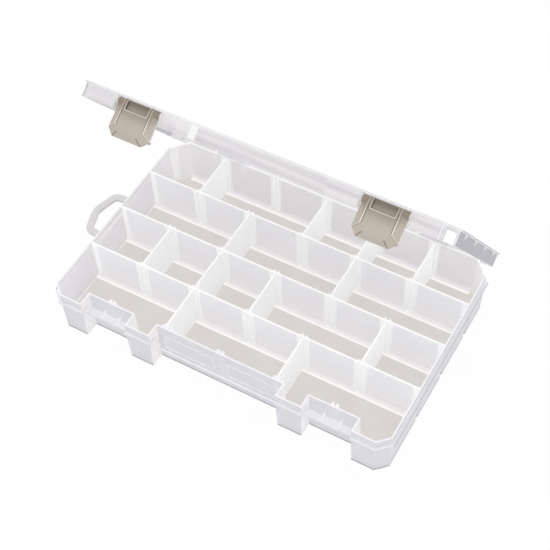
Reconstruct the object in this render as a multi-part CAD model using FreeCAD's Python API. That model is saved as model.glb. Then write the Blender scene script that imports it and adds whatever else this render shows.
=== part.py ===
import FreeCAD, Part
import math
import os

os.makedirs("parts", exist_ok=True)
V = FreeCAD.Vector

# Driving sizes in millimetres. X runs along the rows, Y from front to back, Z up.
cell_x = 56.0           # pitch of the divider slots along a row
cell_y = 50.0           # pitch of the rows
cell_count = 6          # cells between the two end walls
row_count = 4           # rows from back to front
height = 48.0           # tops of the outer walls and the row walls
wall = 1.6              # thickness of every wall of the tray
floor_t = 1.8           # thickness of the tray floor
draft = 1.0             # lean of the outer walls between base and shoulder
foot_depth = 13.6       # feet stand this far in front of the set-back wall
front_chamfer = 10.0    # plan chamfer of the two front corners
rear_chamfer = 14.0     # plan chamfer of the two rear corners
slot_margin = 8.0       # central recess reaches this far past its outer slots
scoop_r = 6.0           # scooped foot of the row walls and the back wall

tongue = 9.0            # walls stand this far above the shoulder
shoulder_t = 2.0        # thickness of the shoulder
shoulder_out = 2.4      # shoulder stands out from the wall

divider_t = 1.6         # divider plate thickness
divider_play = 0.2      # gap between a divider end and the nearest wall
slot_play = 0.15        # gap between a divider face and a slot rib
rib_w = 2.4             # width of one slot rib
rib_reach = 2.0         # ribs stand out this far from the wall
seat_gap = 0.05         # gap under a seated piece

skirt_t = 1.4           # lid skirt thickness
skirt_gap = 0.4         # lid skirt to tray wall
lid_rise = 5.0          # upper face of the closed lid above the wall tops
lid_t = 1.6             # lid plate thickness
lip_out = 1.5           # lid plate stands out past its skirt
lid_open = 53.6         # opening angle of the lid at rest, degrees

hinge_out = 5.5         # hinge axis behind the wall centre line
hinge_up = 2.0          # hinge axis above the shoulder
hinge_r = 2.0           # radius of the hinge pins
barrel_r = 3.5          # radius of hinge lugs and barrels
hinge_in = 41.0         # outer end of a hinge, in from the end wall
hinge_w = 36.0          # length of each hinge over its two lugs
lug_t = 4.0             # thickness of one hinge lug
end_gap = 0.3           # gap between lug and barrel, latch and boss
pin_gap = 0.05          # radial running clearance of all pins

latch_w = 39.6          # width of a latch
boss_len = 1.3          # length of the pin bosses beside a latch
latch_drop = 9.5        # lower edge of a closed latch below the ledge
latch_pin_r = 1.5       # radius of the latch pins
latch_pin_drop = 4.0    # latch axis below the lid plate
latch_barrel_r = 3.2    # radius of the latch barrel
latch_proud = 3.4       # front panel of the latch in front of its axis
latch_plate_t = 2.0     # thickness of the latch border
latch_side = 6.5        # width of the sloped side facets
latch_foot = 4.5        # height of the sloped lower facet
latch_corner = 6.0      # chamfer of the two lower latch corners
latch_skin = 1.6        # wall left between the front panel and the hollow back
latch_rest = 4.0        # latch swing at rest, degrees from hooked
ledge_drop = 11.5       # upper face of the catch ledge below the shoulder
ledge_t = 2.2           # thickness of the catch ledge
ledge_out = 7.0         # catch ledge in front of the set-back wall
hook_grip = 1.2         # hook reaches this far under the ledge
hook_t = 2.5            # height of the hook
hook_gap = 0.2          # gap between hook and ledge
hook_w = 38.0           # width of the hook
thumb_w = 20.6          # width of the thumb recess at the top of a latch
thumb_h = 5.5           # thumb recess reaches this far below the latch axis
thumb_d = 1.8           # depth of the thumb recess
gusset_x = 8.0          # gussets on the ledge, either side of its middle
gusset_h = 7.0          # height of those gussets
gusset_t = 1.2          # thickness of those gussets

panel_drop = 2.0        # framed panels of the central recess below the shoulder
panel_h = 19.0          # height of the panels
panel_rim = 1.8         # width of their frames
panel_proud = 0.9       # frames stand out from the set-back wall
panel_gap = 12.0        # plain strip between the two panels
panel_end = 6.0         # strip between a panel and the side of the recess
sill_up = 10.0          # slim rib across the central recess, above the base
sill_t = 1.2            # height of that rib

loop_t = 3.5            # thickness of the hanging loop
loop_out = 26.6         # middle of the loop reaches this far from the end wall
loop_bow = 8.0          # middle of the loop beyond its two corners
loop_w = 56.0           # length of the loop along the end wall
loop_bar = 6.5          # width of the loop's bar
loop_y = -9.0           # middle of the loop
loop_r = 9.0            # rounding of the loop's two corners
loop_bow_r = 22.0       # rounding of the middle of the loop
loop_hole_r = 4.0       # rounding of the hole's corners
groove_w = 5.0          # width of the grooves in the end walls at the row walls
groove_d = 1.3          # depth of those grooves
room = 20.0             # cuts run this far past what they trim

# Derived positions
half_x = cell_count * cell_x / 2
back_y = row_count * cell_y / 2
set_y = -back_y
front_y = set_y - foot_depth
hinge_y = back_y + hinge_out
shoulder_z = height - tongue
lid_top = height + lid_rise
hinge_z = shoulder_z + hinge_up
ledge_z = shoulder_z - ledge_drop
latch_bottom = ledge_z - latch_drop
panel_z = shoulder_z - panel_drop - panel_h
latch_x = half_x - cell_x
centre_half = latch_x - cell_x + slot_margin
slots = [(i - cell_count / 2) * cell_x for i in range(1, cell_count)]
lid_off = wall / 2 + skirt_gap + skirt_t
pocket_half = latch_w / 2 + end_gap + boss_len
latch_half = pocket_half + lid_off


def offset_polygon(points, distance):
    """Move every side of a counter-clockwise outline outwards."""
    result = []
    count = len(points)
    for i in range(count):
        a = V(*points[i - 1], 0)
        b = V(*points[i], 0)
        c = V(*points[(i + 1) % count], 0)
        d1 = (b - a).normalize()
        d2 = (c - b).normalize()
        n1 = V(d1.y, -d1.x, 0)
        n2 = V(d2.y, -d2.x, 0)
        p = b + (n1 + n2) * (distance / (1 + n1.dot(n2)))
        result.append((p.x, p.y))
    return result


def wire_xy(points, z):
    return Part.makePolygon([V(x, y, z) for x, y in points + points[:1]])


def wire_xz(points, y):
    return Part.makePolygon([V(x, y, z) for x, z in points + points[:1]])


def prism(points, z0, z1):
    return Part.Face(wire_xy(points, z0)).extrude(V(0, 0, z1 - z0))


def tapered(low, high, z0, z1):
    return Part.makeLoft([wire_xy(low, z0), wire_xy(high, z1)], True, True)


def box(x0, x1, y0, y1, z0, z1):
    return Part.makeBox(x1 - x0, y1 - y0, z1 - z0, V(x0, y0, z0))


def rod(x0, x1, y, z, r):
    return Part.makeCylinder(r, x1 - x0, V(x0, y, z), V(1, 0, 0))


def section_x(points, x0, x1):
    """Extrude a section drawn in the YZ plane along X."""
    face = Part.Face(Part.makePolygon([V(x0, y, z) for y, z in points + points[:1]]))
    return face.extrude(V(x1 - x0, 0, 0))


def fuse(shapes):
    return shapes[0].multiFuse(shapes[1:]).removeSplitter()


def outline_with_recesses():
    """Centre line of the outer wall, with the three recesses of the front."""
    line = [(-half_x, front_y + front_chamfer), (-half_x + front_chamfer, front_y)]
    spans = [(-latch_x, latch_half), (0.0, centre_half), (latch_x, latch_half)]
    for middle, half in spans:
        line.append((middle - half, front_y))
        line.append((middle - half, set_y))
        line.append((middle + half, set_y))
        line.append((middle + half, front_y))
    line.append((half_x - front_chamfer, front_y))
    line.append((half_x, front_y + front_chamfer))
    line.append((half_x, back_y - rear_chamfer))
    line.append((half_x - rear_chamfer, back_y))
    line.append((-half_x + rear_chamfer, back_y))
    line.append((-half_x, back_y - rear_chamfer))
    return line


outline = outline_with_recesses()
plain = outline[:2] + outline[14:]


def recess_spaces(z0, z1, grow):
    """Clear spaces of the three recesses, used to trim what would cross them."""
    spaces = []
    for middle, half in ((-latch_x, latch_half), (0.0, centre_half), (latch_x, latch_half)):
        half = half - wall / 2 + grow
        spaces.append(box(middle - half, middle + half, front_y - room, set_y - wall / 2, z0, z1))
    return spaces


def row_wall(y):
    """One long wall with a scooped foot on both faces, full length of the tray."""
    end = half_x - draft / 2
    a = y - wall / 2
    b = y + wall / 2
    low = floor_t - 0.6
    k = scoop_r * (1 - math.sqrt(0.5))
    p = [V(-end, a - scoop_r, low), V(-end, a - scoop_r, floor_t), V(-end, a, floor_t + scoop_r)]
    q = [V(-end, a, height), V(-end, b, height)]
    r = [V(-end, b, floor_t + scoop_r), V(-end, b + scoop_r, floor_t), V(-end, b + scoop_r, low)]
    left = Part.Arc(p[1], V(-end, a - k, floor_t + k), p[2]).toShape()
    right = Part.Arc(r[0], V(-end, b + k, floor_t + k), r[1]).toShape()
    edges = [Part.makeLine(p[0], p[1]), left, Part.makeLine(p[2], q[0]), Part.makeLine(q[0], q[1])]
    edges += [Part.makeLine(q[1], r[0]), right, Part.makeLine(r[1], r[2]), Part.makeLine(r[2], p[0])]
    return Part.Face(Part.Wire(edges)).extrude(V(2 * end, 0, 0))


def back_scoop():
    """Scooped foot of the back wall."""
    end = half_x - rear_chamfer - wall
    face = back_y - wall / 2 - draft * (1 - scoop_r / (shoulder_z - floor_t))
    rear = back_y - draft / 2
    low = floor_t - 0.6
    k = scoop_r * (1 - math.sqrt(0.5))
    p = [V(-end, rear, low), V(-end, face - scoop_r, low), V(-end, face - scoop_r, floor_t)]
    q = [V(-end, face, floor_t + scoop_r), V(-end, rear, floor_t + scoop_r)]
    arc = Part.Arc(p[2], V(-end, face - k, floor_t + k), q[0]).toShape()
    edges = [Part.makeLine(p[0], p[1]), Part.makeLine(p[1], p[2]), arc]
    edges += [Part.makeLine(q[0], q[1]), Part.makeLine(q[1], p[0])]
    return Part.Face(Part.Wire(edges)).extrude(V(2 * end, 0, 0))


def slot_ribs():
    """Pairs of upright ribs that hold the divider ends on both sides of every row."""
    ribs = []
    inner = wall / 2 + rib_reach
    outer = back_y - wall / 2 - draft - rib_reach
    spans = [(j * cell_y - inner, j * cell_y + inner) for j in range(1 - row_count // 2, row_count // 2)]
    spans.append((outer, back_y - draft / 2))
    spans.append((set_y + draft / 2, -outer))
    near = divider_t / 2 + slot_play
    for x in slots:
        for y0, y1 in spans:
            for side in (-1, 1):
                x0 = x + min(side * near, side * (near + rib_w))
                ribs.append(box(x0, x0 + rib_w, y0, y1, floor_t - 0.6, height))
    return ribs


def shoulder():
    """Ledge around the feet and the two ends, on which the lid skirt lands."""
    ring = prism(offset_polygon(outline, wall / 2 + shoulder_out), shoulder_z - shoulder_t, shoulder_z)
    ring = ring.cut(prism(outline, shoulder_z - shoulder_t - 1, shoulder_z + 1))
    for space in recess_spaces(0, height, 0):
        ring = ring.cut(space)
    reach = half_x - rear_chamfer
    return ring.cut(box(-reach, reach, back_y - 2, back_y + room, 0, height))


def catch_ledges():
    """Ledge across each latch recess with two small gussets on top."""
    pieces = []
    front = set_y - wall / 2 - ledge_out
    for x in (-latch_x, latch_x):
        pieces.append(box(x - latch_half, x + latch_half, front, set_y, ledge_z - ledge_t, ledge_z))
        for side in (-1, 1):
            rise = [(set_y, ledge_z - 0.5), (front + 1, ledge_z - 0.5), (set_y, ledge_z + gusset_h)]
            left = x + gusset_x * side - gusset_t / 2
            pieces.append(section_x(rise, left, left + gusset_t))
    return pieces


def panel_frames():
    """Two raised frames and a slim rib on the set-back wall of the central recess."""
    pieces = []
    face = set_y - wall / 2
    top = panel_z + panel_h
    for side in (-1, 1):
        a, b = sorted((side * panel_gap / 2, side * (centre_half - panel_end)))
        frame = box(a, b, face - panel_proud, set_y, panel_z, top)
        upright = [e for e in frame.Edges if abs(e.tangentAt(e.FirstParameter).y) > 0.9]
        frame = frame.makeFillet(1.4 * panel_rim, upright)
        a = a + panel_rim
        b = b - panel_rim
        hole = box(a, b, face - 10, face + 0.1, panel_z + panel_rim, top - panel_rim)
        pieces.append(frame.cut(hole))
    half = centre_half + wall / 2
    pieces.append(box(-half, half, face - panel_proud, set_y, sill_up, sill_up + sill_t))
    return pieces


def rounded(shape, radii):
    """Round the upright edges that stand at the given plan points."""
    for x, y, r in radii:
        edges = []
        for e in shape.Edges:
            c = e.CenterOfMass
            if e.BoundBox.ZLength > 1 and abs(c.x - x) < 0.01 and abs(c.y - y) < 0.01:
                edges.append(e)
        shape = shape.makeFillet(r, edges)
    return shape


def hanging_loop():
    """Flat bowed ring moulded on the left end wall just under the shoulder."""
    root = -half_x + draft / 2
    far = -half_x - wall / 2 - loop_out
    h = loop_w / 2
    corner = far + loop_bow
    outer = [(root, loop_y + h), (corner, loop_y + h - 2), (far, loop_y)]
    outer += [(corner, loop_y - h + 2), (root, loop_y - h)]
    inner = offset_polygon(outer, -loop_bar)
    edge = -half_x - wall / 2 - shoulder_out
    inner[0] = (edge, inner[0][1])
    inner[4] = (edge, inner[4][1])
    z0 = shoulder_z - loop_t
    ring = prism(outer, z0, shoulder_z)
    ring = rounded(ring, [(*outer[1], loop_r), (*outer[2], loop_bow_r), (*outer[3], loop_r)])
    hole = prism(inner, z0 - 1, shoulder_z + 1)
    bow_r = loop_bow_r - loop_bar
    hole = rounded(hole, [(*inner[1], loop_hole_r), (*inner[2], bow_r), (*inner[3], loop_hole_r)])
    return ring.cut(hole)


def end_grooves():
    """Upright grooves in the outside of both end walls where the row walls meet them."""
    cuts = []
    top = shoulder_z - shoulder_t - 1
    for side in (-1, 1):
        for j in range(1 - row_count // 2, row_count // 2):
            x = side * (half_x + wall / 2)
            y = j * cell_y
            lean = side * draft
            notch = [(-side * groove_d, 0), (side, -groove_w), (side, groove_w)]
            low = [(x - lean + u, y + v) for u, v in notch]
            high = [(x + u, y + v) for u, v in notch]
            below = box(-half_x - room, half_x + room, y - room, y + room, -1, top)
            cuts.append(tapered(low, high, 0, shoulder_z).common(below))
    return cuts


def hinge_spans():
    near = half_x - hinge_in - hinge_w
    return [(-near - hinge_w, -near), (near, near + hinge_w)]


def hinge_lugs():
    """Two lugs and a pin for each hinge, moulded on the back wall."""
    pieces = []
    for x0, x1 in hinge_spans():
        for a in (x0, x1 - lug_t):
            root = back_y - draft / 2
            web = [(root, hinge_z - 4 * barrel_r / 2), (hinge_y, hinge_z - barrel_r)]
            web += [(hinge_y, hinge_z + barrel_r), (root, hinge_z + barrel_r)]
            pieces.append(section_x(web, a, a + lug_t))
            pieces.append(rod(a, a + lug_t, hinge_y, hinge_z, barrel_r))
        pieces.append(rod(x0 + lug_t / 2, x1 - lug_t / 2, hinge_y, hinge_z, hinge_r))
    return pieces


def make_tray():
    top = offset_polygon(outline, wall / 2)
    base = offset_polygon(outline, wall / 2 - draft)
    body = tapered(base, top, 0, shoulder_z).fuse(prism(top, shoulder_z, height))
    top = offset_polygon(outline, -wall / 2)
    base = offset_polygon(outline, -wall / 2 - draft)
    hollow = tapered(base, top, floor_t, shoulder_z).fuse(prism(top, shoulder_z, height + 1))
    body = body.cut(hollow.removeSplitter())
    walls = [row_wall(j * cell_y) for j in range(1 - row_count // 2, row_count // 2)]
    inside = walls + [back_scoop()] + slot_ribs()
    outside = [shoulder(), hanging_loop()] + catch_ledges() + panel_frames() + hinge_lugs()
    tray = fuse([body] + inside + outside)
    for groove in end_grooves():
        tray = tray.cut(groove)
    return tray


def lid_hinges():
    """Barrels that turn on the tray's pins, each with a web to the back skirt."""
    solid = []
    bores = []
    for x0, x1 in hinge_spans():
        a = x0 + lug_t + end_gap
        b = x1 - lug_t - end_gap
        solid.append(rod(a, b, hinge_y, hinge_z, barrel_r))
        skirt = back_y + wall / 2 + skirt_gap
        solid.append(box(a, b, skirt, hinge_y + 1, hinge_z + hinge_r + 0.4, hinge_z + 5.5))
        bores.append(rod(a - 1, b + 1, hinge_y, hinge_z, hinge_r + pin_gap))
    return solid, bores


def lug_spaces():
    """Room in the back skirt for the lugs of the tray."""
    spaces = []
    top = hinge_z + barrel_r + 0.5
    for x0, x1 in hinge_spans():
        for a in (x0, x1 - lug_t):
            spaces.append(box(a - end_gap, a + lug_t + end_gap, back_y, hinge_y + 10, 0, top))
    return spaces


latch_axis_y = front_y - wall / 2 + 1.8
latch_axis_z = lid_top - lid_t - latch_pin_drop


def latch_bosses():
    """Bosses on the pocket sides of the lid, with holes for the latch pins."""
    solid = []
    bores = []
    for x in (-latch_x, latch_x):
        for side in (-1, 1):
            near = x + side * (latch_w / 2 + end_gap)
            far = x + side * (pocket_half + skirt_t / 2)
            a, b = sorted((near, far))
            solid.append(rod(a, b, latch_axis_y, latch_axis_z, latch_barrel_r))
            far = x + side * (pocket_half + skirt_t + end_gap)
            a, b = sorted((near - side * end_gap, far))
            bores.append(rod(a, b, latch_axis_y, latch_axis_z, latch_pin_r + pin_gap))
    return solid, bores


def lip_gussets():
    """Small gussets between the lip and the end skirts."""
    pieces = []
    run = back_y - rear_chamfer - front_y - front_chamfer
    top = lid_top - lid_t / 2
    for side in (-1, 1):
        for i in range(4):
            y = front_y + front_chamfer + run * (i + 0.5) / 4
            x0 = side * (half_x + lid_off - skirt_t / 2)
            x1 = side * (half_x + lid_off + lip_out)
            tri = [V(x0, y, top), V(x1, y, top), V(x1, y, top - 2), V(x0, y, top - 8), V(x0, y, top)]
            pieces.append(Part.Face(Part.makePolygon(tri)).extrude(V(0, 1.6, 0)))
    return pieces


def make_lid():
    bottom = shoulder_z + seat_gap
    shell = prism(offset_polygon(outline, lid_off), bottom, lid_top - lid_t / 2)
    shell = shell.cut(prism(offset_polygon(outline, lid_off - skirt_t), bottom - 1, lid_top))
    shell = shell.cut(box(-half_x - room, half_x + room, back_y, back_y + room, 0, hinge_z + 1))
    for space in lug_spaces():
        shell = shell.cut(space)
    plate = prism(offset_polygon(plain, lid_off + lip_out), lid_top - lid_t, lid_top)
    plate = plate.cut(box(-half_x - room, half_x + room, back_y + lid_off, back_y + room, 0, lid_top + 1))
    hinges, hinge_bores = lid_hinges()
    bosses, pin_bores = latch_bosses()
    lid = fuse([shell, plate] + hinges + bosses + lip_gussets())
    for bore in hinge_bores + pin_bores:
        lid = lid.cut(bore)
    return lid


def latch_outline(inset, foot, corner):
    """Front view of a latch: straight top, chamfered lower corners."""
    w = latch_w / 2 - inset
    low = latch_bottom + foot
    line = [(-w, latch_axis_z), (-w, low + corner), (-w + corner, low)]
    return line + [(w - corner, low), (w, low + corner), (w, latch_axis_z)]


def make_latch():
    """A latch in its hooked position, in the middle of the front."""
    face_y = latch_axis_y - latch_proud
    rim_y = latch_axis_y + latch_plate_t / 2 - 0.6
    back = rim_y + latch_plate_t
    border = latch_outline(0, 0, latch_corner)
    panel = latch_outline(latch_side, latch_foot, latch_corner * 0.9)
    front = Part.makeLoft([wire_xz(border, rim_y), wire_xz(panel, face_y)], True, True)
    plate = Part.Face(wire_xz(border, rim_y)).extrude(V(0, latch_plate_t, 0))
    barrel = rod(-latch_w / 2, latch_w / 2, latch_axis_y, latch_axis_z, latch_barrel_r)
    pins = rod(-pocket_half - skirt_t, pocket_half + skirt_t, latch_axis_y, latch_axis_z, latch_pin_r)
    hollow = latch_outline(latch_side + 1, latch_foot + hook_t, latch_corner * 0.5)
    hollow = [(x, min(z, latch_axis_z - thumb_h - latch_skin)) for x, z in hollow]
    depth = back - face_y - latch_skin
    cavity = Part.Face(wire_xz(hollow, back)).extrude(V(0, -depth, 0))
    tip = set_y - wall / 2 - ledge_out + hook_grip
    top = ledge_z - ledge_t - hook_gap
    root = rim_y + latch_plate_t / 4
    hook = [(root, top - hook_t), (tip - 1, top - hook_t), (tip, top - hook_t / 2), (tip, top), (root, top)]
    body = fuse([front, plate, barrel]).cut(cavity)
    thumb_z = latch_axis_z - thumb_h
    thumb = box(-thumb_w / 2, thumb_w / 2, face_y - 1, face_y + thumb_d, thumb_z, latch_axis_z + 10)
    body = body.cut(thumb)
    return fuse([body, pins, section_x(hook, -hook_w / 2, hook_w / 2)])


def make_divider(x, y):
    """A divider plate seated in its slot, lower corners rounded to clear the scoops."""
    half = (cell_y - wall - draft) / 2 - divider_play
    low = floor_t + seat_gap
    plate = box(x - divider_t / 2, x + divider_t / 2, y - half, y + half, low, height)
    corners = [e for e in plate.Edges if e.BoundBox.ZMax < low + 0.1 and e.BoundBox.XLength > divider_t / 2]
    return plate.makeFillet(scoop_r + 1, corners)


def turned(shape, y, z, degrees):
    """Turn a piece about a line along X; positive swings the front upwards."""
    shape = shape.copy()
    shape.rotate(V(0, y, z), V(1, 0, 0), -degrees)
    return shape


def save(name, shape):
    shape.exportStep("parts/" + name + ".step")
    b = shape.BoundBox
    size = "%.1f %.1f %.1f  %.1f %.1f %.1f" % (b.XMin, b.YMin, b.ZMin, b.XMax, b.YMax, b.ZMax)
    print(name, len(shape.Solids), shape.isValid(), "%.1f cm3" % (shape.Volume / 1000), size)


save("tray", make_tray())
save("lid", turned(make_lid(), hinge_y, hinge_z, lid_open))

latch = turned(make_latch(), latch_axis_y, latch_axis_z, latch_rest)
latch = turned(latch, hinge_y, hinge_z, lid_open)
for name, x in (("latch_left", -latch_x), ("latch_right", latch_x)):
    save(name, latch.translated(V(x, 0, 0)))

# Dividers in place: slots 1 to 5 from the left, rows 1 to 4 from the back.
in_place = {1: (1, 3, 4, 5), 2: (2, 4), 3: (1, 2, 3, 5), 4: (2, 4)}
for row in in_place:
    middle = ((row_count + 1) / 2 - row) * cell_y
    if row == 1:
        middle = middle - draft / 2
    if row == row_count:
        middle = middle + draft / 2
    for slot in in_place[row]:
        save("divider_r%d_s%d" % (row, slot), make_divider(slots[slot - 1], middle))

pivot = turned(Part.Vertex(0, latch_axis_y, latch_axis_z), hinge_y, hinge_z, lid_open).Point
print("hinge axis", hinge_y, hinge_z, "latch axis", pivot.y, pivot.z)
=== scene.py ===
# %% [markdown]
# A compartment box of clear moulded plastic stands with its lid part open.
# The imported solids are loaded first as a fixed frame, and everything built here
# sits on that frame, in metres, with X along the rows, Y to the back and Z up.

# %% Load the frame
import math

import bpy
from mathutils import Matrix, Vector


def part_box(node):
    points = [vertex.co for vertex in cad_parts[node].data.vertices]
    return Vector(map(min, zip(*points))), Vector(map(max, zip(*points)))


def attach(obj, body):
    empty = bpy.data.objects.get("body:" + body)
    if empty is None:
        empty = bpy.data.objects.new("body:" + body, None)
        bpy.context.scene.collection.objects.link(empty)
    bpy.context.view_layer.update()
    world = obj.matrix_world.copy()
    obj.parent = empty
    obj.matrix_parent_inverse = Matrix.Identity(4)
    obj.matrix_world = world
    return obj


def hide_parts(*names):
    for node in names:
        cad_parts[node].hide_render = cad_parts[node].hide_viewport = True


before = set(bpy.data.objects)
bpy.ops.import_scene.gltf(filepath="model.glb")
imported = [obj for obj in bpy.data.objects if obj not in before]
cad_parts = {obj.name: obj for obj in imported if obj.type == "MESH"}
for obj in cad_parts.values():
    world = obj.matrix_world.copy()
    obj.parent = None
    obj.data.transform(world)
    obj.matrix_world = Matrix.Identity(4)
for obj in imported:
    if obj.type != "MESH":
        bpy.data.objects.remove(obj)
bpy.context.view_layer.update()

scene = bpy.context.scene
mm = 0.001               # a millimetre, in metres

# %% [markdown]
# Operators act on whatever is selected, so each step first picks exactly the
# object, and then the faces or edges, that it wants. The picking could be done
# by index, but an index changes with every edit. Place and direction stay true,
# so these helpers take a small test of both, in millimetres.

# %% Picking pieces, faces and edges
aligned = 0.9            # a direction with this share of an axis counts as along it


def pick_only(piece):
    """Deselect everything, then select this piece and make it active."""
    bpy.ops.object.select_all(action="DESELECT")
    piece.select_set(True)
    bpy.context.view_layer.objects.active = piece


def done_editing():
    bpy.ops.object.mode_set(mode="OBJECT")


def start_picking(piece, kind):
    """Make ready to pick faces or edges of this piece, with none picked yet."""
    pick_only(piece)
    bpy.ops.object.mode_set(mode="EDIT")
    bpy.ops.mesh.select_mode(type=kind)
    bpy.ops.mesh.select_all(action="DESELECT")
    done_editing()


def pick_faces(piece, wanted):
    """Enter edit mode with the faces selected that wanted(centre, normal, look) names.

    The look is the name of the face's finish, or empty while the piece has none.
    """
    start_picking(piece, "FACE")
    looks = [finish.name for finish in piece.data.materials]
    count = 0
    for face in piece.data.polygons:
        look = looks[face.material_index] if looks else ""
        face.select = bool(wanted(face.center / mm, face.normal, look))
        count += face.select
    bpy.ops.object.mode_set(mode="EDIT")
    return count


def pick_edges(piece, wanted):
    """Enter edit mode with the edges selected that wanted(middle, direction) names."""
    start_picking(piece, "EDGE")
    count = 0
    for edge in piece.data.edges:
        a, b = (piece.data.vertices[i].co / mm for i in edge.vertices)
        edge.select = bool(wanted((a + b) / 2, (b - a).normalized()))
        count += edge.select
    bpy.ops.object.mode_set(mode="EDIT")
    return count


# %% [markdown]
# Moulded plastic has no knife-sharp edges: each one is rounded by a quarter of
# a millimetre or so and catches a thread of light. A Bevel modifier makes that
# rounding, and can give the new narrow faces a material slot of their own. The
# Weighted Normal modifier then keeps the broad faces looking flat.

# %% Rounding the edges
sharp = math.radians(35)   # an edge that turns by more than this is rounded


def round_edges(piece, width, edge_finish=None):
    """Round the sharp edges, and give the new narrow faces one of the piece's finishes."""
    pick_only(piece)
    bpy.ops.object.shade_smooth()
    soft = piece.modifiers.new("rounding", "BEVEL")
    soft.width = width * mm
    soft.segments = 2
    soft.limit_method = "ANGLE"
    soft.angle_limit = sharp
    soft.use_clamp_overlap = False
    if edge_finish:
        soft.material = piece.data.materials.find(edge_finish.name)
    bpy.ops.object.modifier_apply(modifier="rounding")
    even = piece.modifiers.new("even", "WEIGHTED_NORMAL")
    even.weight = 80
    bpy.ops.object.modifier_apply(modifier="even")
    print(piece.name, len(piece.data.polygons), "faces after rounding")


# %% [markdown]
# The plastic is polypropylene, a milky clear resin: light goes into it, wanders
# and comes out again. One look runs through all the clear pieces, so it is made
# once as a node group. Slow noise makes the clouding, and very fine noise makes
# the faint grain of the mould. Object coordinates hold both still on the piece.

# %% Node group: cloudy plastic
def new_group(name, sockets):
    """An empty node group with the given (in or out, name, type) sockets."""
    group = bpy.data.node_groups.new(name, "ShaderNodeTree")
    for way, label, kind in sockets:
        group.interface.new_socket(label, in_out=way, socket_type="NodeSocket" + kind)
    return group, group.nodes.new("NodeGroupInput"), group.nodes.new("NodeGroupOutput")


cloudy_plastic, gi, go = new_group("cloudy_plastic", [
    ("INPUT", "Clear", "Color"), ("INPUT", "Cloudy", "Color"), ("INPUT", "Scale", "Float"),
    ("INPUT", "Stretch", "Vector"),
    ("OUTPUT", "Color", "Color"), ("OUTPUT", "Height", "Float"), ("OUTPUT", "Mask", "Float")])
place = cloudy_plastic.nodes.new("ShaderNodeTexCoord")
cloud = cloudy_plastic.nodes.new("ShaderNodeTexNoise")
cloud.inputs["Detail"].default_value = 4.0
fine = cloudy_plastic.nodes.new("ShaderNodeTexNoise")
fine.inputs["Scale"].default_value = 900.0   # grains about a millimetre wide
draw = cloudy_plastic.nodes.new("ShaderNodeVectorMath")
draw.operation = "MULTIPLY"
blend = cloudy_plastic.nodes.new("ShaderNodeMix")
blend.data_type = "RGBA"
wire = cloudy_plastic.links.new
wire(place.outputs["Object"], draw.inputs[0])
wire(gi.outputs["Stretch"], draw.inputs[1])
wire(draw.outputs["Vector"], cloud.inputs["Vector"])
wire(place.outputs["Object"], fine.inputs["Vector"])
wire(gi.outputs["Scale"], cloud.inputs["Scale"])
wire(cloud.outputs["Fac"], blend.inputs["Factor"])
wire(gi.outputs["Clear"], blend.inputs["A"])
wire(gi.outputs["Cloudy"], blend.inputs["B"])
wire(blend.outputs["Result"], go.inputs["Color"])
wire(fine.outputs["Fac"], go.inputs["Height"])
wire(cloud.outputs["Fac"], go.inputs["Mask"])
print("group", cloudy_plastic.name, len(cloudy_plastic.nodes), "nodes")

# %% [markdown]
# A wall does not look the same from foot to rim: inside, it is made paler and warmer
# towards the floor and given a painted highlight along the rims, and outside its lowest
# edge gets a painted dark line of shade. A second group blends one colour into another
# between two heights; the latches use it for painted shadow under the lid's edge.
# Vertex colours could do it too, but would need many more faces for a smooth change.

# %% Node group: foot tint
foot_tint, gi, go = new_group("foot_tint", [
    ("INPUT", "Color", "Color"), ("INPUT", "Foot", "Color"),
    ("INPUT", "Low", "Float"), ("INPUT", "High", "Float"), ("OUTPUT", "Color", "Color")])
place = foot_tint.nodes.new("ShaderNodeTexCoord")
axes = foot_tint.nodes.new("ShaderNodeSeparateXYZ")
rise = foot_tint.nodes.new("ShaderNodeMapRange")
rise.interpolation_type = "SMOOTHSTEP"
blend = foot_tint.nodes.new("ShaderNodeMix")
blend.data_type = "RGBA"
wire = foot_tint.links.new
wire(place.outputs["Object"], axes.inputs["Vector"])
wire(axes.outputs["Z"], rise.inputs["Value"])
wire(gi.outputs["Low"], rise.inputs["From Min"])
wire(gi.outputs["High"], rise.inputs["From Max"])
wire(rise.outputs["Result"], blend.inputs["Factor"])
wire(gi.outputs["Foot"], blend.inputs["A"])
wire(gi.outputs["Color"], blend.inputs["B"])
wire(blend.outputs["Result"], go.inputs["Color"])
print("group", foot_tint.name, len(foot_tint.nodes), "nodes")

# %% [markdown]
# Beside each divider slot two ribs thicken the wall, and the real wall is nearly
# white there. A third group finds how far a point lies from the nearest slot: the
# slots stand at one pitch, so a ping-pong of X, which counts up and down like a
# triangle wave, is zero at every slot. Near zero the colour goes over to the rib's,
# and the same measure is handed out, so that a finish can be less see-through there.

# %% Node group: rib glow
rib_glow, gi, go = new_group("rib_glow", [
    ("INPUT", "Color", "Color"), ("INPUT", "Rib", "Color"), ("INPUT", "Half Pitch", "Float"),
    ("INPUT", "Reach", "Float"), ("OUTPUT", "Color", "Color"), ("OUTPUT", "Away", "Float")])
place = rib_glow.nodes.new("ShaderNodeTexCoord")
axes = rib_glow.nodes.new("ShaderNodeSeparateXYZ")
away = rib_glow.nodes.new("ShaderNodeMath")
away.operation = "PINGPONG"
fade = rib_glow.nodes.new("ShaderNodeMapRange")
fade.interpolation_type = "SMOOTHSTEP"
fade.inputs["From Min"].default_value = 0.0045   # full glow as far as 4.5 mm from a slot
blend = rib_glow.nodes.new("ShaderNodeMix")
blend.data_type = "RGBA"
wire = rib_glow.links.new
wire(place.outputs["Object"], axes.inputs["Vector"])
wire(axes.outputs["X"], away.inputs[0])
wire(gi.outputs["Half Pitch"], away.inputs[1])
wire(away.outputs["Value"], fade.inputs["Value"])
wire(gi.outputs["Reach"], fade.inputs["From Max"])
wire(fade.outputs["Result"], blend.inputs["Factor"])
wire(gi.outputs["Rib"], blend.inputs["A"])
wire(gi.outputs["Color"], blend.inputs["B"])
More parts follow.
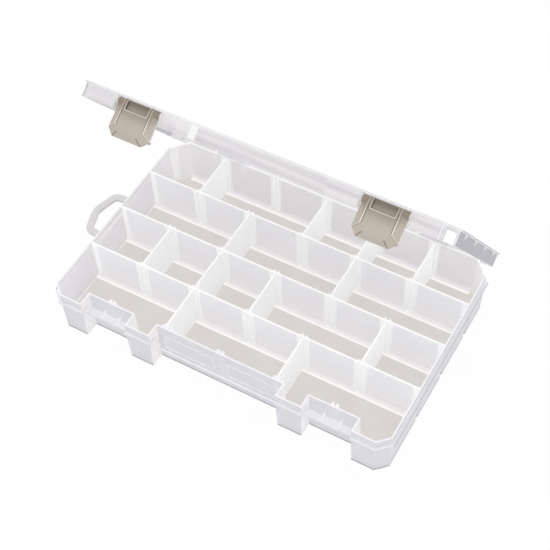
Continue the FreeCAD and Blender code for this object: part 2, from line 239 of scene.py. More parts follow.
wire(blend.outputs["Result"], go.inputs["Color"])
wire(fade.outputs["Result"], go.inputs["Away"])
print("group", rib_glow.name, len(rib_glow.nodes), "nodes")

# %% [markdown]
# Every finish puts these groups to use, and often has to turn a share from 0 to 1
# into some other range. Two small helpers do that, so that the finishes stay short.

# %% Small node helpers
def use_group(nodes, group, values):
    """Place a node group in a finish and set its named inputs."""
    node = nodes.new("ShaderNodeGroup")
    node.node_tree = group
    for label, value in values.items():
        node.inputs[label].default_value = value
    return node


def use_range(nodes, wire, share, low, high):
    """Turn a share from 0 to 1 into a value from low to high."""
    node = nodes.new("ShaderNodeMapRange")
    node.inputs["To Min"].default_value = low
    node.inputs["To Max"].default_value = high
    wire(share, node.inputs["Value"])
    return node


# %% [markdown]
# Each finish is one Principled shader with values of its own. Milky plastic
# hides what is behind it from the eye, and yet lets most of the light through,
# which is why the real box is bright to the bottom of every cell. Refraction
# could show that, but two dozen thin walls in a row go dark and slow. Here Alpha
# has one value for sight and a lower one, its shade, for the rays that carry light.

# %% Making a finish
half_pitch = 0.028       # metres from a divider slot to the middle of a cell
dense = 0.96             # Alpha of a wall beside its ribs
gloss_spread = 0.06      # the clouding moves the roughness this far up and down
grain = 0.02             # strength of the mould's grain
grain_depth = 0.0002     # its height in metres


def plastic(name, clear, cloudy, solid, rough, shade=None, scale=40.0, stretch=(1, 1, 1),
            foot=None, span=None, rim=None, rim_span=None, rib=None, reach=0.007):
    """A finish clouded from one colour to another.

    solid is its Alpha for the eye and shade its Alpha for other rays. foot and rim are
    tints that fade out over the heights in span and rim_span, in metres. rib is a tint
    that fades out within reach of a divider slot, and a finish with one needs a shade.
    """
    finish = bpy.data.materials.new(name)
    finish.use_nodes = True
    nodes, wire = finish.node_tree.nodes, finish.node_tree.links.new
    shader = nodes["Principled BSDF"]
    shader.inputs["Alpha"].default_value = solid
    if shade is not None:
        ray = nodes.new("ShaderNodeLightPath")
        veil = use_range(nodes, wire, ray.outputs["Is Camera Ray"], shade, solid)
        wire(veil.outputs["Result"], shader.inputs["Alpha"])
    haze = use_group(nodes, cloudy_plastic, {
        "Clear": (*clear, 1), "Cloudy": (*cloudy, 1), "Scale": scale, "Stretch": stretch})
    colour = haze.outputs["Color"]
    # Height tints: painted highlight or painted shade on several finishes, and a paler foot on the
    # walls.
    for height_tint, heights in ((foot, span), (rim, rim_span)):
        if height_tint:
            tint = use_group(nodes, foot_tint, {
                "Foot": (*height_tint, 1), "Low": heights[0], "High": heights[1]})
            wire(colour, tint.inputs["Color"])
            colour = tint.outputs["Color"]
    if rib:
        ribs = use_group(nodes, rib_glow, {
            "Rib": (*rib, 1), "Half Pitch": half_pitch, "Reach": reach})
        wire(colour, ribs.inputs["Color"])
        colour = ribs.outputs["Color"]
        thick = use_range(nodes, wire, ribs.outputs["Away"], dense, solid)
        wire(thick.outputs["Result"], veil.inputs["To Max"])
    wire(colour, shader.inputs["Base Color"])
    gloss = use_range(nodes, wire, haze.outputs["Mask"], rough - gloss_spread, rough + gloss_spread)
    wire(gloss.outputs["Result"], shader.inputs["Roughness"])
    relief = nodes.new("ShaderNodeBump")
    relief.inputs["Strength"].default_value = grain
    relief.inputs["Distance"].default_value = grain_depth
    wire(haze.outputs["Height"], relief.inputs["Height"])
    wire(relief.outputs["Normal"], shader.inputs["Normal"])
    return finish


# %% [markdown]
# The tray is one moulding with several looks: pale lavender walls; white rims and ribs
# where the plastic is seen edge on, partly its thickness and partly painted highlight;
# a floor whose warm grey is painted shade; a painted cream highlight on the scoops; a
# greyer loop; outer faces painted darker for the tray's own shade; and painted dark
# shadow threads along the lowest edges.

# %% Tray finishes
# The wall's white rim is a painted highlight along the wall tops; towards the floor the wall is
# only made paler.
tray_wall = plastic("tray_wall", (0.86, 0.86, 0.91), (0.91, 0.91, 0.94), 0.6, 0.3, shade=0.06,
                    foot=(0.94, 0.925, 0.93), span=(0.005, 0.026), rim=(0.985, 0.985, 0.99),
                    rim_span=(0.0482, 0.0448), rib=(0.99, 0.99, 1.0), reach=0.0075)
tray_end = plastic("tray_end", (0.895, 0.875, 0.895), (0.94, 0.92, 0.935), 0.65, 0.3, shade=0.06)
tray_back = plastic("tray_back", (0.85, 0.825, 0.835), (0.89, 0.865, 0.875), 0.75, 0.3, shade=0.06,
                    rib=(0.96, 0.955, 0.97))
# White edges: partly the plastic's thickness seen edge on, partly a painted highlight of light
# gathered there.
tray_edge = plastic("tray_edge", (0.975, 0.975, 0.985), (0.99, 0.99, 0.995), 0.97, 0.25, shade=0.05)
tray_rim = plastic("tray_rim", (0.85, 0.85, 0.87), (0.89, 0.89, 0.91), 0.9, 0.3, shade=0.05)
# The floor's warm grey is painted shade: the shaded ground seen through the clear floor.
tray_floor = plastic("tray_floor", (0.64, 0.605, 0.585), (0.71, 0.68, 0.66), 0.9, 0.35, shade=0.4)
# The cream band at the foot of each scoop is a painted highlight line where the scoop meets the
# floor.
tray_scoop = plastic("tray_scoop", (0.85, 0.835, 0.85), (0.89, 0.875, 0.885), 0.88, 0.25, shade=0.1,
                     foot=(1.0, 0.985, 0.95), span=(0.00225, 0.0028))
# Outer faces are painted darker for the tray's own shade, with a painted dark shadow line along the
# lowest edge.
tray_front = plastic("tray_front", (0.56, 0.56, 0.62), (0.66, 0.66, 0.71), 0.72, 0.3, shade=0.1,
                     foot=(0.10, 0.10, 0.13), span=(0.0008, 0.0030))
# Ledges and edges outside are painted darker for the tray's own shade.
tray_ledge = plastic("tray_ledge", (0.70, 0.70, 0.75), (0.78, 0.78, 0.82), 0.6, 0.3, shade=0.1)
# The end walls outside are painted darker for the tray's own shade, with painted dark shade lines
# along the foot and under the rim.
tray_side = plastic("tray_side", (0.52, 0.51, 0.58), (0.64, 0.63, 0.69), 0.8, 0.3, shade=0.1,
                    foot=(0.16, 0.16, 0.20), span=(0.0010, 0.0040),
                    rim=(0.16, 0.16, 0.20), rim_span=(0.0476, 0.0456))
# A painted dark shadow band on the end walls under the shoulder.
tray_seam = plastic("tray_seam", (0.10, 0.10, 0.13), (0.17, 0.17, 0.20), 0.9, 0.3, shade=0.2)
tray_loop = plastic("tray_loop", (0.62, 0.60, 0.60), (0.68, 0.66, 0.67), 0.9, 0.3, shade=0.4)
print("tray finishes ready")

# %% [markdown]
# The tray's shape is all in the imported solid, so a copy of that is dressed
# instead of modelling it twice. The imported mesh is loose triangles; they are
# merged into one skin first, or the Bevel would find no edge between two faces.

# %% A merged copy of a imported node
same_point = 2e-6        # metres: corners nearer than this are one


def merged_copy(node, name, finishes):
    """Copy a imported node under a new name, merge its corners and give it finishes."""
    piece = bpy.data.objects.new(name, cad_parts[node].data.copy())
    scene.collection.objects.link(piece)
    pick_only(piece)
    bpy.ops.object.mode_set(mode="EDIT")
    bpy.ops.mesh.select_all(action="SELECT")
    bpy.ops.mesh.remove_doubles(threshold=same_point)
    done_editing()
    piece.data.materials.clear()
    for finish in finishes:
        piece.data.materials.append(finish)
    print(name, len(piece.data.polygons), "faces merged")
    return piece


def give_look(piece, finish, wanted):
    """Give the faces that wanted() picks one of the piece's finishes."""
    count = pick_faces(piece, wanted)
    piece.active_material_index = piece.data.materials.find(finish.name)
    bpy.ops.object.material_slot_assign()
    done_editing()
    print(piece.name, finish.name, count, "faces")


# %% [markdown]
# Which face gets which finish is told by where it lies and which way it looks. In
# the cells, the wall tops are told by their height, the ribs by their distance from
# a divider slot, and the scoops by their slope near the floor. Faces could be picked
# by hand as well, but a test finds all the cells of the tray at once.

# %% Zones inside the tray
cell_x = 56.0            # pitch of the divider slots
cell_y = 50.0            # pitch of the rows
long_wall = 2 * cell_y   # middle of the front and back walls
wall_top = 48.0          # tops of the walls
top_low = wall_top - 0.5   # their faces lie above this
floor_high = 3.0         # the floor's faces lie below this
floor_flat = 0.98        # share of Z in their normals; the scoops' have less
upright = 0.5            # a standing face's normal has less Z than this
slots = [cell_x * i for i in (-2, -1, 0, 1, 2)]
row_walls = [-cell_y, 0.0, cell_y]
rib_x = 3.6              # ribs lie this near to a slot
rib_y = 3.0              # and this near to the middle of a row wall
end_ribs = (96.0, 99.6)  # reach of the ribs inside the front and back walls


def from_row_wall(c):
    return min(abs(c.y - y) for y in row_walls)


def on_floor(c, n, look):
    return abs(n.z) > floor_flat and c.z < floor_high


def on_scoop(c, n, look):
    return 1.9 < c.z < 5.5 and 0.2 < n.z < floor_flat


def on_row(c, n, look):
    return abs(n.y) > 0.7 and abs(c.y) < long_wall - 10


def on_back(c, n, look):
    return n.y < -0.3 and abs(n.z) < upright and c.y > long_wall - 14


def on_rib(c, n, look):
    near_slot = min(abs(c.x - s) for s in slots) < rib_x
    near_wall = from_row_wall(c) < rib_y or end_ribs[0] < abs(c.y) < end_ribs[1]
    return near_slot and near_wall and c.z > 2.5


def on_rib_or_top(c, n, look):
    return on_rib(c, n, look) or (n.z > aligned and c.z > top_low)


print(len(slots), "slots in a row,", len(row_walls), "row walls")

# %% [markdown]
# Outside, the long walls and the end walls are told by the way their normals point.
# The end walls lie in the shade of the shoulder at their tops, the ledges look up,
# and the loop is all that stands out beyond the left end.

# %% Zones outside the tray
end_wall = 168.0         # middle of the end walls
shoulder = 39.0          # upper face of the shoulder round the outside
shade_line = 36.0        # the end walls are in the shoulder's shade down to here


def on_front(c, n, look):
    return abs(n.z) < upright and c.y * n.y > 0.5 * abs(c.y) and abs(c.y) > long_wall - 0.5


def on_side(c, n, look):
    return abs(n.z) < upright and c.x * n.x > 0.8 * abs(c.x) and abs(c.x) > end_wall - 2


# The band of painted shadow on the end walls under the shoulder.
def in_shoulder_shade(c, n, look):
    return on_side(c, n, look) and shade_line < c.z < shoulder + 0.2


def on_ledge(c, n, look):
    outside = abs(c.x) > end_wall + 0.6 or abs(c.y) > long_wall + 0.6
    return n.z > aligned and outside and floor_high < c.z < top_low


def on_end_ledge(c, n, look):
    return look == tray_ledge.name and abs(c.x) > end_wall + 0.6


def on_loop(c, n, look):
    return c.x < -end_wall - 3.3 and c.z > shoulder - 4.5


print("end walls shaded from", shade_line, "to", shoulder, "mm")

# %% [markdown]
# Rounding will give every edge of the tray the bright finish. Not all of them are
# bright on the real one: the outer rim and the rib tops are a duller white, the
# edges outside get painted shade for the tray's own shade, and the lowest ones get a
# painted dark shadow. These tests tell them apart by the finish that they have at that moment, and
# by place.

# %% Zones of the rounded edges
edge_low = wall_top - 0.6   # the rounded edges of the wall tops lie above this


def on_rim(c, n, look):
    outer = abs(c.x) > end_wall - 1 or abs(c.y) > long_wall - 1
    rib_top = on_rib(c, n, look) and from_row_wall(c) > 0.9
    return look == tray_edge.name and (outer or rib_top) and c.z > edge_low


def on_outer_edge(c, n, look):
    outside = abs(c.x) > end_wall + 0.9 or abs(c.y) > long_wall + 0.3
    return look == tray_edge.name and outside and c.z < edge_low


def on_shoulder_shade_edge(c, n, look):
    return look == tray_ledge.name and in_shoulder_shade(c, n, look)


def on_low_edge(c, n, look):
    return look == tray_ledge.name and abs(n.z) < aligned and c.z < 13


edge_zones = [
    (tray_ledge, on_outer_edge), (tray_seam, on_shoulder_shade_edge), (tray_front, on_low_edge),
    (tray_loop, on_loop), (tray_rim, on_rim)]
print(len(edge_zones), "zones of edges")

# %% [markdown]
# The tray is now dressed zone by zone, the broad zones first and the narrow ones
# over them, then rounded, and its edges dressed last. The end walls are bisected
# just under the shoulder, so that its shade has faces of its own.

# %% Tray
tray_round = 0.25        # rounding of the tray's edges
tray = merged_copy("tray", "tray_moulding", [
    tray_end, tray_edge, tray_wall, tray_back, tray_floor, tray_scoop,
    tray_front, tray_side, tray_seam, tray_ledge, tray_loop, tray_rim])
broad_zones = [
    (tray_wall, on_row), (tray_back, on_back), (tray_floor, on_floor), (tray_scoop, on_scoop),
    (tray_front, on_front), (tray_side, on_side), (tray_seam, in_shoulder_shade), (tray_ledge, on_ledge),
    (tray_front, on_end_ledge), (tray_edge, on_rib_or_top)]
pick_faces(tray, on_side)
bpy.ops.mesh.bisect(plane_co=(0, 0, shade_line * mm), plane_no=(0, 0, 1))
done_editing()
for finish, zone in broad_zones:
    give_look(tray, finish, zone)
round_edges(tray, tray_round, edge_finish=tray_edge)
for finish, zone in edge_zones:
    give_look(tray, finish, zone)
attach(tray, "tray")
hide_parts("tray")

# %% [markdown]
# The lid is the same resin, a little clearer. Its front skirt has painted streaks of
# reflected light along its length, its two end skirts get a painted dark reflection in
# slate grey, and its edges are pale threads. The broad plate is told by its normal, which
# leans back by the angle that the lid stands open. One front corner facet gets a small
# white window of painted highlight, and so does a step in the front skirt that faces the same end.

# %% Lid finishes and zones
lid_open = 53.6          # degrees that the lid stands open
hinge = (105.5, 41.0)    # lid hinge axis, Y and Z
highlight_top = 7.5          # the painted highlight reaches this far above the hinge, across the plate
highlight_x = (162.5, 169.0)   # its two ends
step_x = -64.0           # the step in the skirt that gets the painted highlight too
lid_up = Vector((0, math.sin(math.radians(lid_open)), math.cos(math.radians(lid_open))))
# The skirt's streaks along its length are painted reflections of light.
lid_skirt = plastic("lid_skirt", (0.42, 0.395, 0.42), (0.98, 0.955, 0.975), 0.58, 0.2, shade=0.1,
                    scale=60.0, stretch=(0.10, 3.2, 3.2))
lid_plate = plastic("lid_plate", (0.73, 0.72, 0.76), (0.80, 0.79, 0.82), 0.5, 0.25, shade=0.1,
                    scale=14.0)
lid_edge = plastic("lid_edge", (0.82, 0.82, 0.85), (0.88, 0.88, 0.90), 0.7, 0.2, shade=0.1)
# The end skirts' slate grey is a painted dark reflection.
lid_end = plastic("lid_end", (0.21, 0.21, 0.26), (0.30, 0.30, 0.35), 0.93, 0.25, shade=0.3)
# A small white window of painted highlight on a corner facet and a skirt step.
lid_flash = plastic("lid_flash", (0.96, 0.96, 0.97), (0.99, 0.99, 0.99), 0.95, 0.2, shade=0.1)


def on_plate(c, n, look):
    return abs(n.dot(lid_up)) > 0.95


def on_lid_end(c, n, look):
    return abs(n.x) > aligned and abs(c.x) > end_wall + 1.5


def on_corner(c, n, look):
    return 0.4 < n.x < 0.9 and c.x > 140


# Faces that get the painted highlight.
def on_lid_highlight(c, n, look):
    rise = (c - Vector((0, *hinge))).dot(lid_up)
    window = on_corner(c, n, look) and rise < highlight_top and highlight_x[0] < c.x < highlight_x[1]
    return window or (n.x > aligned and abs(c.x - step_x) < 6)


print("lid finishes ready")

# %% [markdown]
# The window of painted highlight is cut into the corner facet by three bisects, one
# along the plate and one at each end. A bisect only splits a flat face, so the shape stays as it
# was;
# a texture could paint the window too, but its edges would be less crisp.

# %% Lid
lid_round = 0.35         # rounding of the lid's edges
lid = merged_copy("lid", "lid_moulding", [lid_skirt, lid_edge, lid_end, lid_flash, lid_plate])
give_look(lid, lid_plate, on_plate)
give_look(lid, lid_end, on_lid_end)
highlight_cuts = [((0, hinge[0] + lid_up.y * highlight_top, hinge[1] + lid_up.z * highlight_top), lid_up)]
highlight_cuts += [((x, 0, 0), (1, 0, 0)) for x in highlight_x]
for point, across in highlight_cuts:
    pick_faces(lid, on_corner)
    bpy.ops.mesh.bisect(plane_co=[v * mm for v in point], plane_no=across)
    done_editing()
give_look(lid, lid_flash, on_lid_highlight)
round_edges(lid, lid_round, edge_finish=lid_edge)
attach(lid, "lid")
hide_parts("lid")

# %% [markdown]
# The loose pieces are modelled from primitives. These helpers set a box or a rod
# at its size and place, given in millimetres, and apply the scale at once, so that
# a later bevel comes out equally wide on every side.

# %% Boxes and rods
def start_box(name, low, high):
    bpy.ops.object.select_all(action="DESELECT")
    middle = [(a + b) / 2 * mm for a, b in zip(low, high)]
    size = [(b - a) * mm for a, b in zip(low, high)]
    bpy.ops.mesh.primitive_cube_add(size=1, location=middle, scale=size)
    bpy.ops.object.transform_apply(location=True, rotation=True, scale=True)
    piece = bpy.context.object
    piece.name = name
    return piece


def start_rod(name, x0, x1, y, z, radius, sides=32):
    bpy.ops.object.select_all(action="DESELECT")
    middle = ((x0 + x1) / 2 * mm, y * mm, z * mm)
    bpy.ops.mesh.primitive_cylinder_add(vertices=sides, radius=radius * mm, depth=(x1 - x0) * mm,
                                        location=middle, rotation=(0, math.pi / 2, 0))
    bpy.ops.object.transform_apply(location=True, rotation=True, scale=True)
    piece = bpy.context.object
    piece.name = name
    return piece


# %% [markdown]
# Picked edges are beveled in edit mode: one step cuts a corner and more steps round
# it. A Boolean modifier makes two solids into one, or cuts one out of the other. In
# a closed solid two faces meet at every edge, so a count of the edges where they do
# not tells at once whether a step went wrong.

# %% Beveling and joining
def bevel_edges(piece, wanted, width, steps, finish=None):
    """Bevel the edges that wanted() picks: one step cuts them, more steps round them."""
    slot = piece.data.materials.find(finish.name) if finish else -1
    count = pick_edges(piece, wanted)
    bpy.ops.mesh.bevel(offset=width * mm, segments=steps, affect="EDGES", material=slot)
    done_editing()
    return count


def open_edges(piece):
    """How many edges lack a second face: none in a closed solid."""
    met = {}
    for face in piece.data.polygons:
        for key in face.edge_keys:
            met[key] = met.get(key, 0) + 1
    return sum(1 for count in met.values() if count != 2)


def work_in(piece, tool, how):
    """Join a second solid to the piece (UNION) or cut it out (DIFFERENCE)."""
    pick_only(piece)
    step = piece.modifiers.new("work_in", "BOOLEAN")
    step.operation = how
    step.solver = "EXACT"
    step.object = tool
    bpy.ops.object.modifier_apply(modifier="work_in")
    print(how.lower(), tool.name, "open edges", open_edges(piece))
    bpy.data.objects.remove(tool)


# %% [markdown]
# A latch is a small taupe plate that hangs from two pins under the lid's edge.
# Sloped facets rise from its border to a flat panel, and its lower corners are
# cut. It is modelled shut and upright, where its sizes are plain. The front face
# is extruded and then made smaller about its top edge, which gives every facet at
# once; a row of insets could do it too, but would make them all equally wide.

# %% Latch: plate and facets
latch_axis = (-112.6, 47.4)   # pivot with the lid shut, Y and Z
latch_half = 19.8             # half the width
latch_low = 18.0              # lower edge
latch_top = latch_axis[1] + 14     # spare height, which is cut off later
latch_rim = latch_axis[0] + 0.4    # front of the border
latch_back = latch_rim + 2.0       # back of the plate
latch_face = latch_axis[0] - 3.4   # front of the flat panel
corner_cut = 6.0              # cut of the lower corners
panel_half = 13.5             # half the width of the flat panel
panel_low = 22.5              # its lower edge
latch = start_box("latch_left_moulding", (-latch_half, latch_rim, latch_low),
                  (latch_half, latch_back, latch_top))
bevel_edges(latch, lambda m, d: abs(d.y) > aligned and m.z < latch_low + 0.1, corner_cut, 1)
pick_faces(latch, lambda c, n, look: n.y < -aligned)
bpy.ops.mesh.extrude_region_move(
    TRANSFORM_OT_translate={"value": (0, (latch_face - latch_rim) * mm, 0)})
lift = (latch_top - panel_low) / (latch_top - latch_low)
bpy.ops.transform.resize(value=(panel_half / latch_half, 1, lift),
                         center_override=(0, latch_face * mm, latch_top * mm))
done_editing()
print("latch front", len(latch.data.polygons), "faces")

# %% [markdown]
# Behind, the plate is hollow so that it cools evenly in the mould. The back
# face is split where the hollow ends, then inset and pushed in, and the spare
# height above the pivot is bisected off.

# %% Latch: hollow back and straight top
hollow_end = 47.7             # the hollow's upper end
hollow_border = 7.2           # border left round it
hollow_lean = 0.4             # its sides lean in by this much
hollow_depth = 3.4            # over this depth
top_rise = 0.37               # the plate ends this far above the pivot
pick_faces(latch, lambda c, n, look: n.y > aligned)
bpy.ops.mesh.bisect(plane_co=(0, 0, hollow_end * mm), plane_no=(0, 0, 1))
done_editing()
pick_faces(latch, lambda c, n, look: n.y > aligned and c.z < hollow_end)
bpy.ops.mesh.inset(thickness=hollow_border * mm, depth=0)
bpy.ops.mesh.inset(thickness=hollow_lean * mm, depth=-hollow_depth * mm)
done_editing()
pick_faces(latch, lambda c, n, look: True)
bpy.ops.mesh.bisect(plane_co=(0, 0, (latch_axis[1] + top_rise) * mm), plane_no=(0, 0, 1),
                    use_fill=True, clear_outer=True)
done_editing()
print("latch plate", len(latch.data.polygons), "faces")

# %% [markdown]
# A barrel runs along the top. A tapered block cuts the thumb recess through the
# panel and the barrel, two slim bars cut grooves beside the panel's edges, and
# the pins and the hook are joined on.

# %% Latch: barrel, thumb recess, grooves, pins and hook
barrel_r = 3.2                # radius of the barrel
thumb_half = 10.4             # half the width of the thumb recess
thumb_low = 41.7              # its lower edge
thumb_deep = 1.8              # its depth
thumb_round = 1.0             # radius of its lower corners
groove_x = (12.3, 12.95)      # the two sides of a groove
groove_z = (28.4, 45.5)       # its two ends
groove_deep = 0.35            # its depth
pin_end = 22.8                # the pins reach this far from the middle
pin_r = 1.5                   # radius of the pins
hook_half = 19.0              # half the width of the hook
hook_tip = -106.6             # it reaches back to here
hook_z = (22.6, 25.1)         # its underside and its top
hook_cut = 1.1                # bevel of its lower back edge


def either_side(near, far):
    """The two sides in X of a bar on the left, and of its mirror image on the right."""
    return [sorted((side * near, side * far)) for side in (-1, 1)]


def thumb_block(depth, narrow):
    """A block for the recess: open at the top, its inner end narrower by a share."""
    inner = latch_face + depth
    block = start_box("thumb", (-thumb_half, latch_face - 2, thumb_low), (thumb_half, inner, 56))
    bevel_edges(block, lambda m, d: abs(d.y) > aligned and m.z < thumb_low + 0.3, thumb_round, 3)
    pick_faces(block, lambda c, n, look: n.y > aligned)
    bpy.ops.transform.resize(value=(narrow, 1, narrow), center_override=(0, inner * mm, 52 * mm))
    done_editing()
    return block


def hook_corner(m, d):
    return abs(d.x) > aligned and m.y > hook_tip - 0.4 and m.z < hook_z[0] + 0.4


work_in(latch, start_rod("barrel", -latch_half, latch_half, *latch_axis, barrel_r), "UNION")
work_in(latch, thumb_block(thumb_deep, 0.95), "DIFFERENCE")
for x0, x1 in either_side(*groove_x):
    groove = start_box("groove", (x0, latch_face - 1, groove_z[0]),
                       (x1, latch_face + groove_deep, groove_z[1]))
    work_in(latch, groove, "DIFFERENCE")
work_in(latch, start_rod("pins", -pin_end, pin_end, *latch_axis, pin_r, sides=20), "UNION")
hook = start_box("hook", (-hook_half, latch_rim + 0.5, hook_z[0]), (hook_half, hook_tip, hook_z[1]))
bevel_edges(hook, hook_corner, hook_cut, 2)
work_in(latch, hook, "UNION")
print("latch with hook", len(latch.data.polygons), "faces")

# %% [markdown]
# The four creases at the cut corners catch the eye on the real latch as a dark
# thread with a bright one beside it. They are beveled in two narrow strips, which
# get slots of their own: one for a painted glint and one for painted shade, the finish of the
# grooves.

# %% Latch: creases
crease_width = 0.5            # width of a strip beside a crease
# All four latch finishes darken towards the top: painted shadow under the lid's edge. latch_glint
# is a painted highlight on beads, creases and flanks, latch_groove painted shade in grooves,
# creases and the recess's lower wall, and latch_recess holds the recess floor, with the strongest
# painted shadow at its top.
latch_taupe = plastic("latch_taupe", (0.435, 0.387, 0.334), (0.485, 0.435, 0.378), 1.0, 0.42,
                      foot=(0.25, 0.205, 0.16), span=(0.2235, 0.2135))
latch_recess = plastic("latch_recess", (0.48, 0.42, 0.35), (0.53, 0.465, 0.395), 1.0, 0.42,
                       foot=(0.17, 0.145, 0.11), span=(0.2225, 0.2165))
latch_glint = plastic("latch_glint", (0.70, 0.645, 0.575), (0.78, 0.725, 0.655), 1.0, 0.35,
                      foot=(0.40, 0.36, 0.31), span=(0.2245, 0.2150))
latch_groove = plastic("latch_groove", (0.19, 0.165, 0.135), (0.25, 0.215, 0.18), 1.0, 0.5,
                       foot=(0.10, 0.085, 0.07), span=(0.2245, 0.2150))
for finish in (latch_taupe, latch_glint, latch_groove, latch_recess):
    latch.data.materials.append(finish)


def is_crease(m, d):
    return abs(d.y) > 0.2 and m.z < 27 and latch_face < m.y < latch_rim - 0.1


def above_crease(c, n, look):
    return look == latch_groove.name and c.z > 24 + (latch_half - abs(c.x)) * 0.62


creases = bevel_edges(latch, is_crease, crease_width, 2, finish=latch_groove)
give_look(latch, latch_glint, above_crease)
print(creases, "creases")

# %% [markdown]
# Two thin beads edge the panel and go on over the barrel, and a third frames the
# thumb recess. A bead on a flat and a round is a bar and a thin disc together. The
# beads are sunk a little into the latch and joined to it as closed solids. Each is
# given the glint first, since faces that are joined without a finish stay bare.

# %% Latch: beads
bead_up = 0.3                 # beads stand this far out
bead_r = 3.62                 # radius of a bead where it rounds the barrel
bead_x = (13.0, 14.0)         # the two sides of a bead
bead_low = 28.2               # its lower end
lip_half = 11.4               # half the width of the frame round the recess
lip_low = 40.7                # its lower edge
lip_round = 1.6               # radius of its lower corners
beads = []
for x0, x1 in either_side(*bead_x):
    bead = start_box("bead", (x0, latch_face - bead_up, bead_low), (x1, latch_face + 1.5, 47.1))
    work_in(bead, start_rod("bead_round", x0, x1, *latch_axis, bead_r), "UNION")
    beads.append(bead)
lip = start_box("thumb_lip", (-lip_half, latch_face - bead_up, lip_low), (lip_half, -113.5, 47.2))
bevel_edges(lip, lambda m, d: abs(d.y) > aligned and m.z < lip_low + 0.3, lip_round, 4)
work_in(lip, start_rod("lip_round", -lip_half, lip_half, *latch_axis, bead_r), "UNION")
work_in(lip, thumb_block(12.0, 0.99), "DIFFERENCE")
pick_only(latch)
for bead in beads + [lip]:
    bead.data.materials.append(latch_glint)
    bead.select_set(True)
bpy.ops.object.join()
print("latch with beads", len(latch.data.polygons), "faces")

# %% [markdown]
# The bright threads, a painted glint, and the dark ones, painted shade, are given out
# by place: a bead is all that stands in front of the panel or outside the barrel, and
# the grooves and the recess's lower wall lie behind it.

# %% Latch: bright and dark threads
thumb_back = latch_face + thumb_deep   # floor of the thumb recess
latch_round = 0.12            # rounding of the latch's edges


def on_bead(c, n, look):
    round_off = math.hypot(c.y - latch_axis[0], c.z - latch_axis[1])
    over_barrel = 3.45 < round_off < 3.9 and c.z > 44 and abs(c.x) < bead_x[1] + 0.2
    on_panel = c.y < latch_face - 0.2
    on_flank = abs(n.x) > aligned and abs(c.x) > latch_half - 0.1 and c.z < 44
    return over_barrel or on_panel or on_flank


def in_groove(c, n, look):
    channel = groove_x[0] - 0.1 < abs(c.x) < groove_x[1] + 0.05 and n.y < -aligned
    channel = channel and latch_face + 0.1 < c.y < latch_face + 0.5
    step = n.z > 0.5 and thumb_low - 0.7 < c.z < thumb_low + 1.3 and abs(c.x) < thumb_half + 0.1
    step = step and latch_face - 0.4 < c.y < thumb_back + 0.1
    flank = abs(n.x) > 0.8 and thumb_half - 0.8 < abs(c.x) < thumb_half + 0.1
    flank = flank and c.z > thumb_low + 0.3 and c.y < thumb_back + 0.2
    return channel or step or flank


def in_recess(c, n, look):
    return abs(c.x) < 10 and n.y < -aligned and c.y > latch_face + 1.2 and c.z > 41


give_look(latch, latch_glint, on_bead)
give_look(latch, latch_groove, in_groove)
give_look(latch, latch_recess, in_recess)
round_edges(latch, latch_round)

# %% [markdown]
# The finished latch is swung to its place: a few degrees about its own pins,
# then with the lid about the lid's hinge. The second latch is a copy with its
# own mesh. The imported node's box tells whether the swing went the right way.

# %% Latches in place
latch_rest = 4.0         # degrees that a latch stands off its hooked place
latch_x = 112.0          # middle of each latch


def swing(piece, degrees, axis):
    pick_only(piece)
    bpy.ops.transform.rotate(value=math.radians(degrees), orient_axis="X",
                             center_override=(0, axis[0] * mm, axis[1] * mm))
    bpy.ops.object.transform_apply(location=True, rotation=True, scale=True)


def slide(piece, x, y=0.0):
    pick_only(piece)
    bpy.ops.transform.translate(value=(x * mm, y * mm, 0))
    bpy.ops.object.transform_apply(location=True, rotation=True, scale=True)


def twin(piece, name):
    copy = bpy.data.objects.new(name, piece.data.copy())
    scene.collection.objects.link(copy)
    return copy


def mesh_box(piece):
    points = [v.co / mm for v in piece.data.vertices]
    return [[round(pick(p[i] for p in points), 1) for i in range(3)] for pick in (min, max)]


swing(latch, latch_rest, latch_axis)
swing(latch, lid_open, hinge)
slide(latch, -latch_x)
right_latch = twin(latch, "latch_right_moulding")
slide(right_latch, 2 * latch_x)
for piece, node in ((latch, "latch_left"), (right_latch, "latch_right")):
    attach(piece, node)
    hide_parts(node)
    print(node, mesh_box(piece), [[round(v / mm, 1) for v in c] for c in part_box(node)])

# %% [markdown]
# The dividers are twelve equal plates that slide down between the ribs. Their
# lower corners are rounded to clear the scoops. One is modelled and copied.

# %% Dividers
foot_round = 7.0         # radius of the lower corners
top_round = 0.8          # radius of the upper edges
divider_round = 0.3      # rounding of all the other edges
divider_plate = plastic("divider_plate", (0.975, 0.975, 0.985), (0.99, 0.99, 0.995), 0.95, 0.35,
                        shade=0.04)
divider_edge = plastic("divider_edge", (0.97, 0.97, 0.98), (0.99, 0.99, 0.99), 0.9, 0.3, shade=0.1)
names = sorted(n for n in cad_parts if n.startswith("divider"))
low, high = (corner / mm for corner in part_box(names[0]))
first = start_box(names[0] + "_plate", low, high)
bevel_edges(first, lambda m, d: abs(d.x) > aligned and m.z < low.z + 0.1, foot_round, 8)
bevel_edges(first, lambda m, d: abs(d.x) > aligned and m.z > high.z - 0.1, top_round, 3)
first.data.materials.append(divider_plate)
first.data.materials.append(divider_edge)
give_look(first, divider_edge, lambda c, n, look: abs(n.x) < 0.5)
round_edges(first, divider_round, edge_finish=divider_edge)
for node in names:
    plate = first if node == names[0] else twin(first, node + "_plate")
    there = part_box(node)[0] / mm
    if plate is not first:
        slide(plate, there.x - low.x, there.y - low.y)
    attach(plate, node)
    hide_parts(node)
print(len(names), "dividers")

# %% [markdown]
# The box stands on a plain floor that is seen as white, with a little of its own
# shade left in, so that the box does not float. A Light Path node tells who looks:
# the camera and mirror-like rays see the white, and all other light meets plain
# matt paper. A white wall of lamps could do it too, but would light the box as well.

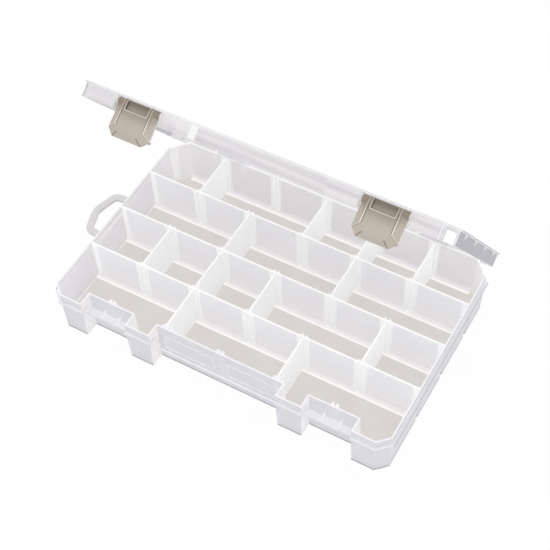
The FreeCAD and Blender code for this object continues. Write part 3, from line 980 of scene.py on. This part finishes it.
# %% Floor
floor_drop = 0.0003      # metres that the floor lies under the box
seen_white = 0.85        # share of plain white in what is seen of the floor
bpy.ops.object.select_all(action="DESELECT")
bpy.ops.mesh.primitive_plane_add(size=12, location=(0, 0, -floor_drop))
floor = bpy.context.object
floor.name = "floor"
paper = bpy.data.materials.new("floor_white")
paper.use_nodes = True
nodes, wire = paper.node_tree.nodes, paper.node_tree.links.new
nodes.clear()
output = nodes.new("ShaderNodeOutputMaterial")
both = nodes.new("ShaderNodeMixShader")
matt = nodes.new("ShaderNodeBsdfDiffuse")
matt.inputs["Color"].default_value = (0.9, 0.9, 0.9, 1)
glow = nodes.new("ShaderNodeEmission")
path = nodes.new("ShaderNodeLightPath")
share = path.outputs["Is Camera Ray"]
for ray in ("Is Glossy Ray", "Is Transmission Ray"):
    plus = nodes.new("ShaderNodeMath")
    plus.operation = "ADD"
    plus.use_clamp = True
    wire(share, plus.inputs[0])
    wire(path.outputs[ray], plus.inputs[1])
    share = plus.outputs["Value"]
part = nodes.new("ShaderNodeMath")
part.operation = "MULTIPLY"
part.inputs[1].default_value = seen_white
wire(share, part.inputs[0])
wire(part.outputs["Value"], both.inputs["Fac"])
wire(matt.outputs["BSDF"], both.inputs[1])
wire(glow.outputs["Emission"], both.inputs[2])
wire(both.outputs["Shader"], output.inputs["Surface"])
floor.data.materials.append(paper)
print("floor ready")

# %% [markdown]
# A bright even room does most of the lighting, as in a product shot, and two
# large soft lamps give the forms a light and a shaded side. The lamps are weak
# beside the room, so that the pale plastic keeps its tones and does not clip to white.

# %% Light
room = bpy.data.worlds.new("studio")
scene.world = room
room.use_nodes = True
backdrop = room.node_tree.nodes["Background"]
backdrop.inputs["Color"].default_value = (1, 1, 1, 1)
backdrop.inputs["Strength"].default_value = 1.0
box_middle = Vector((0, 0, 0.03))   # the lamps point here


def soft_light(name, place, size, watts):
    data = bpy.data.lights.new(name, "AREA")
    data.shape = "DISK"
    data.size = size
    data.energy = watts
    lamp = bpy.data.objects.new(name, data)
    scene.collection.objects.link(lamp)
    lamp.location = place
    lamp.rotation_mode = "QUATERNION"
    lamp.rotation_quaternion = (box_middle - Vector(place)).to_track_quat("-Z", "Y")
    print(name, watts, "W")


soft_light("key", (1.0, -0.8, 1.8), 1.3, 5)
soft_light("fill", (-1.5, 0.6, 1.4), 1.0, 2)

# %% [markdown]
# The camera's place and lens were solved from the grid of wall tops and slots, so
# that the render and the photograph lie over each other. Light meets many thin
# walls in a row on its way through the box, so more bounces than usual are allowed.

# %% Camera
cam_data = bpy.data.cameras.new("camera")
camera = bpy.data.objects.new("camera", cam_data)
scene.collection.objects.link(camera)
scene.camera = camera
cam_data.lens = 82.34
cam_data.sensor_width = 36.0
right = Vector((0.87067, 0.49123, -0.02510)).normalized()
ahead = Vector((-0.31653, 0.52051, -0.79302)).normalized()
up = right.cross(ahead)
turn = Matrix((right, up, -ahead)).transposed().to_4x4()
eye = Vector((0.36044, -0.59429, 0.94915))
camera.matrix_world = Matrix.Translation(eye) @ turn
scene.view_settings.view_transform = "Standard"
scene.cycles.transparent_max_bounces = 48
scene.cycles.max_bounces = 24
scene.cycles.diffuse_bounces = 12
print("camera at", [round(v, 3) for v in camera.location])
